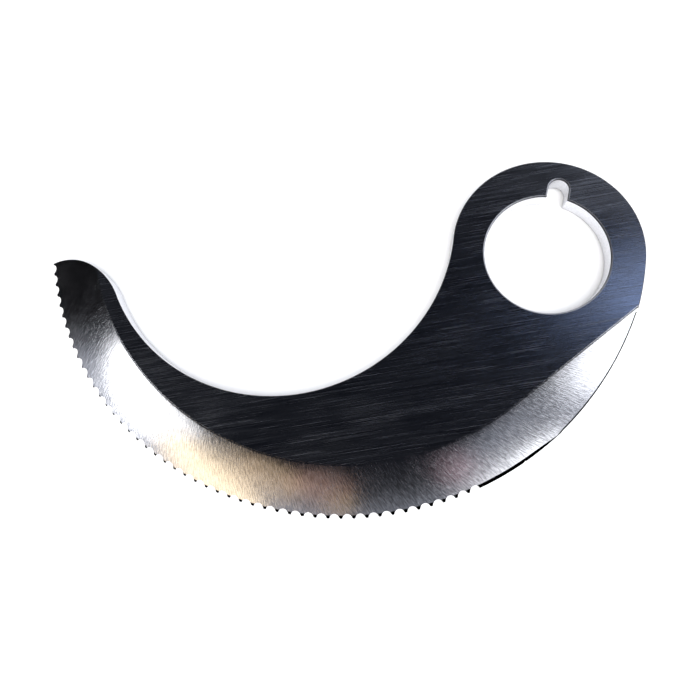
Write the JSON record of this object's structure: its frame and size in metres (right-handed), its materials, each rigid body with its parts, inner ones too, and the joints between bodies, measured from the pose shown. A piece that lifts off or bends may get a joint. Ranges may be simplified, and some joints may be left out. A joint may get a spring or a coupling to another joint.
{
  "type": "bowl cutter blade",
  "caption": "Flat hooked blade with a round shaft eye and keyway, one-sided bevel and a serrated outer edge.",
  "frame": {"origin": "on the bore axis, at the flat back face", "axes": "+Z along the bore axis, out of the bevelled face; +Y from the bore axis through the middle of the keyway; the blade sweeps away towards -X and -Y"},
  "size_m": [0.1975, 0.1328, 0.006],
  "materials": {
    "blade": "stainless plate: brushed flat faces that look dark, a bright bevel ground across the blade, and a narrow dark edge bevel"
  },
  "bodies": {
    "root": {"blade": "blade"}
  },
  "joints": []
}
